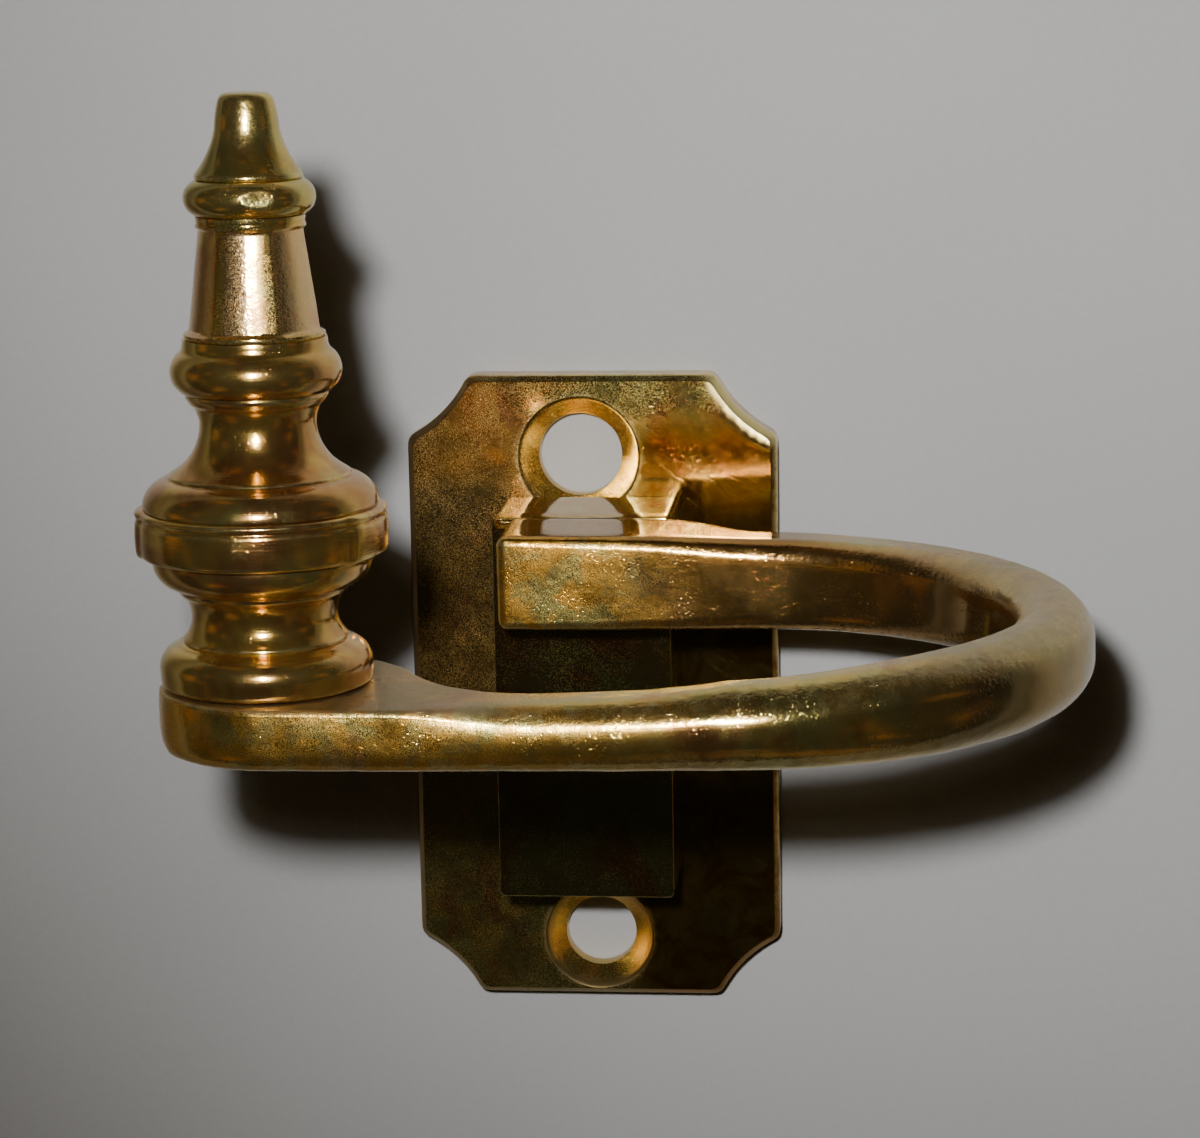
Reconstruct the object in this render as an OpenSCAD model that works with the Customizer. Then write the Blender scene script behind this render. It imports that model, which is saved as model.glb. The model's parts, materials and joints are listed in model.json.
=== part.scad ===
// Turned brass jamb hook on a scooped back plate.
//
// Frame: the back of the plate lies on z = 0 with its centre at the origin.
// +Z points away from the wall, +Y points along the plate towards the tip of
// the finial, and +X towards the bend of the arm. All sizes are millimetres.

/* [Back plate] */
// Width of the plate
plate_w = 30; // [29:0.5:34]
// Length of the plate along the wall
plate_h = 52; // [52:0.1:57]
// Thickness of the plate
plate_t = 3; // [2.6:0.1:4]
// Length that each corner scoop takes off the sides
scoop_w = 5; // [4:0.1:5.6]
// Depth of the arc of a corner scoop
scoop_sag = 0.6; // [0.3:0.05:1.1]
// Bevel along the front edges of the plate
plate_bevel = 0.5; // [0.2:0.1:0.5]

/* [Screw holes] */
// Radius of the upper screw hole
upper_hole_r = 3.35; // [2.5:0.05:3.4]
// Height of the upper screw hole above the centre of the plate
upper_hole_y = 19.35; // [19.3:0.05:19.8]
// How far the upper screw hole sits to the left of the centre line
upper_hole_left = 1; // [0:0.1:1.5]
// Radius of the lower screw hole
lower_hole_r = 2.9; // [2.4:0.05:2.9]
// Distance of the lower screw hole below the centre of the plate
lower_hole_y = 20.95; // [20.5:0.05:20.95]
// Width of the conical sink around each screw hole
sink_w = 1.55; // [1:0.05:1.55]

/* [Standoff block] */
// Width of the block
block_w = 14; // [13:0.5:16]
// Lower end of the block, below the centre of the plate
block_low = 14.7; // [14:0.1:15.2]
// Upper end of the block, above the centre of the plate
block_high = 16.1; // [15.65:0.05:16.15]
// Height of the block off the plate
block_d = 9.6; // [8:0.1:12]
// Bevel along the edges of the block
block_bevel = 0.5; // [0.2:0.1:0.8]

/* [Arm] */
// Height of the underside of the arm above the centre of the plate
arm_low = 8.7; // [8.45:0.05:8.85]
// Thickness of the arm at its root, measured along the wall
root_h = 7.4; // [6.8:0.1:7.4]
// Depth of the arm at its root
root_d = 8.2; // [7:0.1:9]
// Distance from the centre line of the plate to the blunt end of the root
root_reach = 5.8; // [5:0.1:6.4]
// Distance from the centre line of the plate to the centre of the bend
bend_x = 14; // [12:0.25:16]
// Radius of the bend along the middle of the bar
bend_r = 21.6; // [20:0.05:23]
// Depth of the bar around the bend and along the front
bar_d = 6; // [5.5:0.1:6.5]
// How far the rounded sides of the bar draw in towards its edges
bar_crown = 0.8; // [0:0.1:1]
// Thickness of the eye that carries the finial
eye_h = 4.4; // [4:0.1:5]
// Radius of the round eye
eye_r = 8.5; // [8:0.1:9]
// Radius of the hollow corner between the eye and the bar
eye_fillet_r = 10; // [8:0.5:12]

/* [Finial] */
// Distance from the centre line of the plate to the axis of the finial
finial_x = 16.4; // [16:0.1:17]
// How far the finial's axis lies behind the front of the arm
finial_inset = 8.2; // [8:0.1:8.8]
// Radius of the shank of the finial's bolt
bolt_r = 1.6; // [1.4:0.05:1.8]
// Widest radius of the foot
foot_r = 7; // [6.6:0.1:7.4]
// Narrowest radius of the waist
waist_r = 4.8; // [4.4:0.1:5.2]
// Radius of the band, the widest part
band_r = 8.3; // [8:0.1:8.8]
// Narrowest radius of the neck
neck_r = 3.8; // [3.4:0.1:4.2]
// Radius of the bead under the steeple
bead_r = 5.6; // [5.2:0.1:6]
// Radius of the collar over the steeple
collar_r = 4.3; // [4:0.1:4.6]

/* [Hidden] */

$fn = 64;
eps = 0.1;

// Fits: a running fit where the finial turns in the eye, and a close fit
// between pieces that are clamped or screwed together.
running_gap = 0.05;
close_gap = 0.03;

// Places in depth, measured from the wall. Past the block the underside of
// the root lifts by root_lift before the bend begins.
root_lift = 2.4;
block_front = plate_t + block_d;
bend_z = block_front + root_lift + bar_d / 2 + bend_r;
front_z = bend_z + bend_r + bar_d / 2;
finial_z = front_z - finial_inset;
eye_x = -finial_x + 1.15;
eye_z = front_z - eye_r;
eye_top = arm_low + eye_h;

// Fasteners.
screw_r = 1.5;
screw_head_r = 2.9;
screw_x = -2;
screw_y = arm_low + root_h / 2;
screw_bite = 5;
block_screw_y = -7.35;
block_screw_bite = 6.5;
dowel_r = 1;
dowel_x = 3.6;
dowel_half = 2.5;
bolt_head_r = 3.1;
head_recess = 0.15;
slot_w = 0.8;
slot_d = 0.7;

// Heights of the finial's joints above the eye.
foot_top = 2.85;
waist_top = 6.3;
vase_top = 8.6;
band_top = 11.8;
shoulder_rim = 13.9;
shoulder_top = 19.3;
bead_top = 22.0;
steeple_low = 22.8;
steeple_high = 29.9;
steeple_top = 30.65;
collar_top = 32.95;
tip_top = 38.5;
bolt_tip = 36;

brass = [0.72, 0.55, 0.26];
dark_brass = [0.45, 0.36, 0.17];
pale_brass = [0.82, 0.68, 0.38];
rose_brass = [0.78, 0.55, 0.36];

// ---------------------------------------------------------------- helpers

// Points of a circular arc from p to q that bulges to the right of p-q by sag
// (negative: to the left). Seen as radius and height going up, right is out.
function bow(p, q, sag, steps = 8) =
    let (
        d = q - p,
        half = norm(d) / 2,
        out = [d[1], -d[0]] / norm(d),
        r = (half * half + sag * sag) / (2 * abs(sag)),
        side = sag > 0 ? 1 : -1,
        mid = (p + q) / 2 + out * (sag - side * r),
        sweep = 2 * asin(min(1, half / r))
    )
    [for (k = [0 : steps])
        let (a = sweep * (k / steps - 0.5))
        mid + side * r * (out * cos(a)) + r * sin(a) * d / norm(d)];

// A turned piece on the finial's axis. outline runs up the outside as
// [radius, height above the eye], and bore_r is the hole for the bolt.
module turned(outline, bore_r = bolt_r + close_gap) {
    low = outline[0][1];
    high = outline[len(outline) - 1][1];
    translate([-finial_x, eye_top + running_gap, finial_z])
        rotate([-90, 0, 0])
            difference() {
                rotate_extrude($fn = 96)
                    polygon(concat([[0, low]], outline, [[0, high]]));
                if (bore_r > 0)
                    translate([0, 0, low - eps])
                        cylinder(r = bore_r, h = high - low + 2 * eps);
            }
}

// Slotted countersunk screw. The flat of its head is at z = 0 and it points up.
module sunk_screw(shank_r, head_r, length) {
    difference() {
        union() {
            cylinder(r1 = head_r, r2 = shank_r, h = head_r - shank_r);
            cylinder(r = shank_r, h = length);
        }
        translate([-head_r - eps, -slot_w / 2, -eps])
            cube([2 * (head_r + eps), slot_w, slot_d + eps]);
    }
}

// The hole that sunk_screw drops into when its head is head_recess below the
// face at z = 0. It is gap wider round the shank and twice that round the head.
module sunk_hole(shank_r, head_r, length, gap) {
    mouth = head_r + 2 * gap + head_recess + eps;
    translate([0, 0, -eps])
        cylinder(r1 = mouth, r2 = shank_r + gap, h = mouth - shank_r - gap);
    cylinder(r = shank_r + gap, h = length);
}

// ------------------------------------------------------------- back plate

// A through hole of radius r with a 90 degree sink at the front of the plate.
module screw_hole(x, y, r) {
    translate([x, y, -eps])
        cylinder(r = r, h = plate_t + 2 * eps);
    translate([x, y, plate_t - sink_w])
        cylinder(r1 = r, r2 = r + sink_w + eps, h = sink_w + eps);
}

// A prism that bevels a long edge: it runs along X at the origin.
module bevel_prism(length, bevel) {
    rotate([45, 0, 0])
        cube([length + 2 * eps, bevel * sqrt(2), bevel * sqrt(2)], center = true);
}

// Each scoop is an arc whose centre lies outside the corner of the plate.
scoop_r = (scoop_w * scoop_w / 2 + scoop_sag * scoop_sag) / (2 * scoop_sag);
scoop_out = (scoop_r - scoop_sag) / sqrt(2) - scoop_w / 2;

module back_plate() {
    color(brass)
        difference() {
            translate([-plate_w / 2, -plate_h / 2, 0])
                cube([plate_w, plate_h, plate_t]);
            for (sx = [-1, 1], sy = [-1, 1])
                translate([
                    sx * (plate_w / 2 + scoop_out), sy * (plate_h / 2 + scoop_out), 0
                ]) {
                    translate([0, 0, -eps])
                        cylinder(r = scoop_r, h = plate_t + 2 * eps);
                    translate([0, 0, plate_t - plate_bevel])
                        cylinder(
                            r1 = scoop_r, r2 = scoop_r + plate_bevel + eps,
                            h = plate_bevel + eps
                        );
                }
            for (sy = [-1, 1])
                translate([0, sy * plate_h / 2, plate_t])
                    bevel_prism(plate_w, plate_bevel);
            for (sx = [-1, 1])
                translate([sx * plate_w / 2, 0, plate_t])
                    rotate([0, 0, 90])
                        bevel_prism(plate_h, plate_bevel);
            screw_hole(-upper_hole_left, upper_hole_y, upper_hole_r);
            screw_hole(0, -lower_hole_y, lower_hole_r);
            for (place = [[screw_x, screw_y], [0, block_screw_y]])
                translate([place[0], place[1], 0])
                    sunk_hole(screw_r, screw_head_r, plate_t + eps, close_gap);
        }
}

// --------------------------------------------------------- standoff block

module standoff_block() {
    length = block_low + block_high;
    middle = (block_high - block_low) / 2;
    color(dark_brass)
        difference() {
            translate([-block_w / 2, -block_low, plate_t])
                cube([block_w, length, block_d]);
            for (y = [-block_low, block_high])
                translate([0, y, block_front])
                    bevel_prism(block_w, block_bevel);
            for (sx = [-1, 1])
                translate([sx * block_w / 2, middle, block_front])
                    rotate([0, 0, 90])
                        bevel_prism(length, block_bevel);
            translate([screw_x, screw_y, plate_t - eps])
                cylinder(r = screw_r + close_gap, h = block_d + 2 * eps);
            translate([0, block_screw_y, plate_t - eps])
                cylinder(r = screw_r + close_gap, h = block_screw_bite + eps);
            translate([dowel_x, screw_y, block_front - dowel_half - close_gap])
                cylinder(r = dowel_r + close_gap, h = dowel_half + 1);
        }
}

// -------------------------------------------------------------------- arm

corner_steps = 5;

// Height of the bar's upper side, by how far it has travelled: 0 at the root's
// blunt end, 1 to 2 around the bend, 3 where the fillet of the eye begins.
function bar_top(u) = arm_low + lookup(u, [
    [0, root_h], [0.6, root_h - 0.05], [1, root_h - 0.35], [1.5, root_h - 0.5],
    [1.8, root_h - 0.75], [2, root_h - 1.85], [2.45, eye_h + 0.5], [3, eye_h + 0.2]
]);

// Rounding of the bar's edges along the same travel.
function bar_round(u) = lookup(u, [
    [0, 1], [1, 1.5], [1.5, 2.7], [2, 2.2], [2.5, 1.6], [3, 1.4]
]);

// Quarter circle of the section's edge, from angle a.
function edge(q, y, r, a) = [
    for (k = [0 : corner_steps])
        let (t = a + 90 * k / corner_steps)
        [q + r * cos(t), y + r * sin(t)]
];

// Points between two corners of the section, along its side at q.
function side(q, from, to) = [for (t = [0.25, 0.5, 0.75]) [q, from + t * (to - from)]];

// Rounded section w deep between the heights low and high. r holds the radii of
// its outer low, outer high, inner high and inner low edges, and its two sides
// draw in by crown towards the edges.
function section(w, low, high, r, crown = 0) =
    let (
        points = concat(
            edge(w / 2 - r[0], low + r[0], r[0], -90),
            side(w / 2, low + r[0], high - r[1]),
            edge(w / 2 - r[1], high - r[1], r[1], 0),
            edge(-w / 2 + r[2], high - r[2], r[2], 90),
            side(-w / 2, high - r[2], low + r[3]),
            edge(-w / 2 + r[3], low + r[3], r[3], 180)
        ),
        middle = (low + high) / 2,
        rise = (high - low) / 2
    )
    [for (p = points) [p[0] * (1 - 2 * crown / w * pow((p[1] - middle) / rise, 2)), p[1]]];

// Sets a section at [x, z] of the plan, with its depth along the unit vector out.
function placed(points, x, z, out) = [
    for (p = points) [x + p[0] * out[0], p[1], z + p[0] * out[1]]
];

// How much a rounded end of radius r has drawn in at distance d from the end.
function drawn_in(d, r) = d >= r ? 0 : r - sqrt(r * r - (r - d) * (r - d));

root_end_r = 0.9;
seat_r = 0.25;

// Rises smoothly from 0 to 1 as t goes from 0 to 1.
function ease(t) = let (s = max(0, min(1, t))) s * s * (3 - 2 * s);

// The root, from its blunt end to the start of the bend. Its back lies flat on
// the block, with edges that are nearly sharp there.
function root_rings() = [
    for (d = [0.02, 0.1, 0.3, 0.6, 0.9, 5, 9, 12.5, 14, 15.5, 17, 18.5])
        let (
            u = d / (bend_x + root_reach),
            inset = drawn_in(d, root_end_r),
            past_block = (d - root_reach - block_w / 2) / (bend_x - block_w / 2),
            under = block_front + root_lift * ease(past_block),
            over = block_front + root_d + (root_lift + bar_d - root_d) * u,
            r = max(seat_r, bar_round(u) - inset),
            seat = seat_r + (r - seat_r) * ease(past_block)
        )
        placed(
            section(
                over - under - 2 * inset, arm_low + inset, bar_top(u) - inset,
                [seat, seat, r, r]
            ),
            -root_reach + d, (over + under) / 2, [0, -1]
        )
];

// The half turn.
bend_steps = 22;
function bend_rings() = [
    for (k = [0 : bend_steps])
        let (
            a = 180 * k / bend_steps,
            u = 1 + k / bend_steps,
            r = bar_round(u)
        )
        placed(
            section(bar_d, arm_low, bar_top(u), [r, r, r, r], bar_crown * ease(k / bend_steps)),
            bend_x + bend_r * sin(a),
            bend_z - bend_r * cos(a),
            [sin(a), -cos(a)]
        )
];

// Plan of the front: the inner line of the bar runs through a hollow corner
// into the round eye, and the front line is straight until it meets the eye.
inner_z = front_z - bar_d;
fillet_z = inner_z - eye_fillet_r;
fillet_x = eye_x + sqrt(
    pow(eye_r + eye_fillet_r, 2) - pow(eye_z - fillet_z, 2)
);
fillet_end = eye_x + (fillet_x - eye_x) * eye_r / (eye_r + eye_fillet_r);

function eye_half(x) = sqrt(max(0, eye_r * eye_r - pow(x - eye_x, 2)));
function plan_inner(x) =
    x > fillet_x ? inner_z
    : x > fillet_end ? fillet_z + sqrt(pow(eye_fillet_r, 2) - pow(x - fillet_x, 2))
    : eye_z - eye_half(x);
function plan_outer(x) = x > eye_x ? front_z : eye_z + eye_half(x);

eye_low_round = 1.3;
eye_high_round = 0.6;

// One section of the front, cut across the bar at x.
function front_ring(x) =
    let (
        u = 2 + max(0, min(1, (bend_x - x) / (bend_x - fillet_x))),
        near_eye = max(0, min(1, (fillet_x - x) / (fillet_x - fillet_end))),
        low_in = drawn_in(x - eye_x + eye_r, eye_low_round),
        high_in = drawn_in(x - eye_x + eye_r, eye_high_round),
        w = plan_outer(x) - plan_inner(x),
        r_low = min(w / 3, bar_round(u) + near_eye * (eye_low_round - bar_round(u))),
        r_high = min(w / 3, bar_round(u) + near_eye * (eye_high_round - bar_round(u))),
        top = bar_top(u) + near_eye * (eye_top - bar_top(u))
    )
    placed(
        section(
            w, arm_low + low_in, top - high_in, [r_low, r_high, r_high, r_low],
            min(w / 4, bar_crown * (1 - 0.8 * near_eye))
        ),
        x, (plan_outer(x) + plan_inner(x)) / 2, [0, 1]
    );

front_rings = concat(
    [for (k = [1 : 4]) front_ring(bend_x + (fillet_x - bend_x) * k / 4)],
    [for (k = [1 : 6]) front_ring(fillet_x + (fillet_end - fillet_x) * k / 6)],
    [for (a = [36 : 12 : 168]) front_ring(eye_x + eye_r * cos(a))],
    [front_ring(eye_x - eye_r + 0.04)]
);

// A closed skin over a list of rings that all have the same number of points.
module skin(rings) {
    n = len(rings[0]);
    last = len(rings) - 1;
    points = [for (ring = rings) each ring];
    sides = [
        for (i = [0 : last - 1], j = [0 : n - 1])
            let (
                a = i * n + j,
                b = i * n + (j + 1) % n
            )
            each [[a, b, b + n], [a, b + n, a + n]]
    ];
    first_cap = [for (j = [n - 1 : -1 : 0]) j];
    last_cap = [for (j = [0 : n - 1]) last * n + j];
    polyhedron(points, concat([first_cap], sides, [last_cap]), convexity = 6);
}

module arm() {
    color(brass)
        difference() {
            skin(concat(root_rings(), bend_rings(), front_rings));
            translate([-finial_x, arm_low, finial_z])
                rotate([-90, 0, 0])
                    sunk_hole(bolt_r, bolt_head_r, eye_h + eps, running_gap);
            translate([screw_x, screw_y, block_front - eps])
                cylinder(r = screw_r + close_gap, h = screw_bite + eps);
            translate([dowel_x, screw_y, block_front - eps])
                cylinder(r = dowel_r + close_gap, h = dowel_half + close_gap + eps);
        }
}

module arm_screw() {
    color(pale_brass)
        translate([screw_x, screw_y, head_recess])
            sunk_screw(
                screw_r, screw_head_r, block_front + screw_bite - 0.5 - head_recess
            );
}

module block_screw() {
    color(pale_brass)
        translate([0, block_screw_y, head_recess])
            sunk_screw(
                screw_r, screw_head_r, plate_t + block_screw_bite - 0.5 - head_recess
            );
}

module arm_dowel() {
    color(pale_brass)
        translate([dowel_x, screw_y, block_front - dowel_half])
            cylinder(r = dowel_r, h = 2 * dowel_half);
}

// ----------------------------------------------------------------- finial

module finial_bolt() {
    color(pale_brass)
        translate([-finial_x, arm_low + head_recess, finial_z])
            rotate([-90, 0, 0])
                sunk_screw(bolt_r, bolt_head_r, eye_h + bolt_tip - head_recess);
}

module finial_foot() {
    color(brass)
        turned(concat(
            [[foot_r - 0.2, 0], [foot_r - 0.02, 0.35]],
            bow([foot_r, 1], [foot_r - 1.15, foot_top - 0.1], 0.4),
            [[foot_r - 1.4, foot_top]]
        ));
}

module finial_vase() {
    hip = 5.45;
    color(brass)
        turned(concat(
            bow([hip, foot_top], [hip - 0.05, waist_top], waist_r - hip + 0.02, 12),
            bow([hip + 0.15, waist_top + 0.05], [band_r - 1.1, vase_top], 0.55)
        ));
}

module finial_band() {
    color(brass)
        turned(concat(
            [[band_r - 0.7, vase_top], [band_r - 0.2, vase_top + 0.3]],
            bow([band_r - 0.15, vase_top + 0.35], [band_r - 0.15, band_top - 0.7], 0.15),
            [
                [band_r - 0.35, band_top - 0.62], [band_r - 0.35, band_top - 0.5],
                [band_r - 0.15, band_top - 0.4], [band_r - 0.35, band_top]
            ]
        ));
}

module finial_shoulder() {
    rim = 5.8;
    neck_low = [rim, shoulder_rim + 0.2];
    neck_waist = [neck_r, 17.3];
    neck_high = [neck_r + 0.65, shoulder_top - 0.15];
    color(brass)
        turned(concat(
            bow([band_r - 0.5, band_top], [rim + 0.25, shoulder_rim - 0.1], 0.5),
            [[rim, shoulder_rim]],
            bow(neck_low, neck_waist, -0.5),
            bow(neck_waist, neck_high, -0.15, 5),
            [[neck_high[0] + 0.15, shoulder_top]]
        ));
}

module finial_bead() {
    fillet_r = 4.75;
    color(brass)
        turned(concat(
            bow([fillet_r + 0.1, shoulder_top], [fillet_r + 0.1, bead_top], bead_r - fillet_r - 0.1, 12),
            [[fillet_r, bead_top + 0.05], [fillet_r, steeple_low]]
        ));
}

// A tapered round blank with six flats cut on it and a round neck above. The
// flats leave a narrow round strip at each corner.
module finial_steeple() {
    low_r = 4.6;
    high_r = 3.6;
    land = 0.3;
    flat_depth = 0.885;
    first_flat = 93;
    color(rose_brass)
        difference() {
            turned([
                [low_r + 0.05, steeple_low], [high_r, steeple_high + land],
                [high_r - 0.05, steeple_top]
            ]);
            translate([-finial_x, eye_top + running_gap, finial_z])
                rotate([-90, 0, 0])
                    for (k = [0 : 5])
                        rotate([0, 0, 60 * k + first_flat])
                            rotate([90, 0, 0])
                                linear_extrude(2 * low_r, center = true)
                                    polygon([
                                        [low_r * flat_depth, steeple_low + land],
                                        [high_r * flat_depth, steeple_high],
                                        [low_r + 1, steeple_high],
                                        [low_r + 1, steeple_low + land]
                                    ]);
        }
}

module finial_collar() {
    edge_r = collar_r - 0.75;
    color(brass)
        turned(bow([edge_r, steeple_top], [edge_r, collar_top], collar_r - edge_r, 12));
}

module finial_cap() {
    flare = [collar_r - 0.74, collar_top];
    waist = [2.1, 36.2];
    brow = [1.85, tip_top - 0.75];
    tip_r = 1.2;
    color(brass)
        difference() {
            turned(
                concat(
                    bow(flare, waist, -0.22),
                    bow(waist, brow, 0.04, 3),
                    bow(brow, [tip_r, tip_top - 0.05], 0.2, 5),
                    [[0.01, tip_top]]
                ),
                bore_r = 0
            );
            translate([-finial_x, eye_top + running_gap + collar_top - eps, finial_z])
                rotate([-90, 0, 0])
                    cylinder(r = bolt_r + close_gap, h = bolt_tip - collar_top + 2 * eps);
        }
}

back_plate();
standoff_block();
arm();
arm_screw();
block_screw();
arm_dowel();
finial_bolt();
finial_foot();
finial_vase();
finial_band();
finial_shoulder();
finial_bead();
finial_steeple();
finial_collar();
finial_cap();
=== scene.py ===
"""Looks of the brass jamb hook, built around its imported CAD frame.

The frame's own axes are used throughout: the back of the plate lies on z = 0, +Z
points away from it, +Y towards the tip of the finial and +X towards the bend.
Lengths in this script are millimetres until a mesh, a light or the camera is made.
"""

import json
import math

import bpy
import numpy as np
from mathutils import Matrix, Vector, geometry, noise

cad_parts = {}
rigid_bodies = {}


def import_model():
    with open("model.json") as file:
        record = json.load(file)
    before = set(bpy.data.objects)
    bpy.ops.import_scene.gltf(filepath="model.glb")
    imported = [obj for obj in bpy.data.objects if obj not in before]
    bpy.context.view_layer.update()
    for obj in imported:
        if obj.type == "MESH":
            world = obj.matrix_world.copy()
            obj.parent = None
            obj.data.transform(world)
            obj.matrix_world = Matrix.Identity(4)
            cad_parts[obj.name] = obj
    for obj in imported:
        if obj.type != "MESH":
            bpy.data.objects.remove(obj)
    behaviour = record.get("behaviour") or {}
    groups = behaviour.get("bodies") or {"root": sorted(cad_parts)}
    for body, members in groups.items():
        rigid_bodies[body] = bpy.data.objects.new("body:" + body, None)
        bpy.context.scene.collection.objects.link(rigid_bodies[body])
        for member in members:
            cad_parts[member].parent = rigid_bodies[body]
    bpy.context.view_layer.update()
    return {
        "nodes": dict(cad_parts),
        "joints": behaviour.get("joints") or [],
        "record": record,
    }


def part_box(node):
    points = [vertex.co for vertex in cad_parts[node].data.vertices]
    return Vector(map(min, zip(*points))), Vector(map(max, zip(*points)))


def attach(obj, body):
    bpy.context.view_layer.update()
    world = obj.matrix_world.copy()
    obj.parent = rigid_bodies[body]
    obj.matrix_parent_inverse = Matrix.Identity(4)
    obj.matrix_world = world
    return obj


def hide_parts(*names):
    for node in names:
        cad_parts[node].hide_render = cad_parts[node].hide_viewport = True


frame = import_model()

MM = 0.001


# ---- sizes and places ----

def box_mm(node):
    """Lowest and highest corner of a CAD node, in millimetres."""
    low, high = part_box(node)
    return np.array(low) / MM, np.array(high) / MM


JOINT = frame["joints"][0]
HOOK, FINIAL = JOINT["parent"], JOINT["child"]
AXIS_X, _, AXIS_Z = (c / MM for c in JOINT["pos_m"])

PLATE_LOW, PLATE_HIGH = box_mm("back_plate")
BLOCK_LOW, BLOCK_HIGH = box_mm("standoff_block")
ARM_LOW, ARM_HIGH = box_mm("arm")
MOUNTS = {m["name"]: m for m in frame["record"]["mounts"]}

# Sizes that the boxes don't give, as in the part's source.
SCOOP_W = 5.0
SCOOP_SAG = 0.6
SCOOP_R = (SCOOP_W ** 2 / 2 + SCOOP_SAG ** 2) / (2 * SCOOP_SAG)
SCOOP_OUT = (SCOOP_R - SCOOP_SAG) / math.sqrt(2) - SCOOP_W / 2
SINK_W = 1.55
SCREW_R = 1.53
SCREW_SINK_R = 3.11
ROOT_H = 7.4
ROOT_D = 8.2
ROOT_REACH = 5.8
ROOT_END_R = 0.9
BAR_D = 6.0
BAR_CROWN = 0.8
BEND_X = 14.0
BEND_R = ARM_HIGH[0] - BEND_X - BAR_D / 2
BEND_Z = ARM_HIGH[2] - BAR_D / 2 - BEND_R
EYE_H = 4.4
EYE_R = 8.5
EYE_X = ARM_LOW[0] + EYE_R
EYE_Z = ARM_HIGH[2] - EYE_R
EYE_FILLET_R = 10.0
BOLT_R = 1.65
BOLT_SINK_R = 3.35
ARM_BASE = ARM_LOW[1]
FRONT_Z = ARM_HIGH[2]
BLOCK_FRONT = BLOCK_HIGH[2]


# ---- mesh utilities ----

def make_object(name, points, faces, crease=50):
    """A mesh object from points in millimetres, smooth up to crease degrees."""
    mesh = bpy.data.meshes.new(name)
    mesh.from_pydata([tuple(p * MM) for p in np.asarray(points, float)], [], faces)
    mesh.validate()
    mesh.polygons.foreach_set("use_smooth", [True] * len(mesh.polygons))
    mesh.set_sharp_from_angle(angle=math.radians(crease))
    obj = bpy.data.objects.new(name, mesh)
    bpy.context.scene.collection.objects.link(obj)
    return obj


def tube_faces(rings, around, first=0):
    """Quads between rings of the same number of points, numbered ring by ring."""
    faces = []
    for i in range(rings - 1):
        low = first + i * around
        high = low + around
        for j in range(around):
            k = (j + 1) % around
            faces.append((low + j, low + k, high + k, high + j))
    return faces


def mark(obj, name, values):
    """Stores one number per vertex for a material to read."""
    layer = obj.data.attributes.new(name, "FLOAT", "POINT")
    layer.data.foreach_set("value", np.asarray(values, np.float32))


def ease(t):
    """0 up to t = 0 and 1 from t = 1 on, with a soft rise between."""
    t = min(1.0, max(0.0, t))
    return t * t * (3 - 2 * t)


def fbm(point, scale, depth):
    """Soft noise from about -1 to 1 with features of about scale millimetres."""
    return noise.fractal(Vector(point) / scale, 1.0, 2.0, depth)


def roughen(obj, bumps, share=1.0):
    """Moves each vertex inwards by an uneven amount.

    bumps holds (height, scale, depth) in mm, and share how much of it each gets.
    """
    mesh = obj.data
    places = np.array([v.co for v in mesh.vertices])
    normals = np.array([v.normal for v in mesh.vertices])
    shift = np.array([
        sum(height * (fbm(p / MM, scale, depth) - 1) for height, scale, depth in bumps)
        for p in places
    ]) * share
    places = places + normals * shift[:, None] * MM
    mesh.vertices.foreach_set("co", places.ravel())
    mesh.update()


def keep_inside(obj, node):
    """Holds a piece within the box of the CAD node that it stands for."""
    low, high = (np.array(c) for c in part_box(node))
    for vertex in obj.data.vertices:
        vertex.co = np.clip(vertex.co, low, high)
    obj.data.update()


def cut(obj, cutter):
    """Takes cutter out of obj and removes it."""
    modifier = obj.modifiers.new("cut", "BOOLEAN")
    modifier.operation = "DIFFERENCE"
    modifier.solver = "EXACT"
    modifier.object = cutter
    bpy.context.view_layer.update()
    shape = bpy.data.meshes.new_from_object(
        obj.evaluated_get(bpy.context.evaluated_depsgraph_get())
    )
    obj.modifiers.clear()
    obj.data = shape
    bpy.data.objects.remove(cutter)


def bow(p, q, sag, steps=14):
    """Points of a circular arc from p to q that bulges by sag to the right of p-q."""
    p, q = np.array(p, float), np.array(q, float)
    run = q - p
    half = np.hypot(*run) / 2
    along = run / (2 * half)
    out = np.array([along[1], -along[0]])
    radius = (half * half + sag * sag) / (2 * abs(sag))
    side = math.copysign(1, sag)
    middle = (p + q) / 2 + out * (sag - side * radius)
    reach = math.asin(min(1.0, half / radius))
    angles = np.linspace(-reach, reach, steps + 1)
    return [
        tuple(middle + side * radius * math.cos(a) * out + radius * math.sin(a) * along)
        for a in angles
    ]


def resampled(points, step):
    """The same open line with points about step apart."""
    points = np.array(points, float)
    lengths = np.hypot(*np.diff(points, axis=0).T)
    travel = np.concatenate([[0], np.cumsum(lengths)])
    count = max(2, int(round(travel[-1] / step)) + 1)
    wanted = np.linspace(0, travel[-1], count)
    return np.stack([np.interp(wanted, travel, points[:, i]) for i in (0, 1)], 1)


def softened(points, passes):
    """Rounds the corners of an open line; its two ends stay."""
    for _ in range(passes):
        inner = (points[:-2] + 2 * points[1:-1] + points[2:]) / 4
        points = np.concatenate([points[:1], inner, points[-1:]])
    return points


def softened_loop(points, passes):
    """Rounds the corners of a closed line."""
    for _ in range(passes):
        points = (np.roll(points, 1, 0) + 2 * points + np.roll(points, -1, 0)) / 4
    return points


# ---- slabs with holes ----

def straight(p, q, count):
    """count points from p up to but not including q."""
    p, q = np.array(p, float), np.array(q, float)
    return [p + (q - p) * k / count for k in range(count)]


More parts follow.
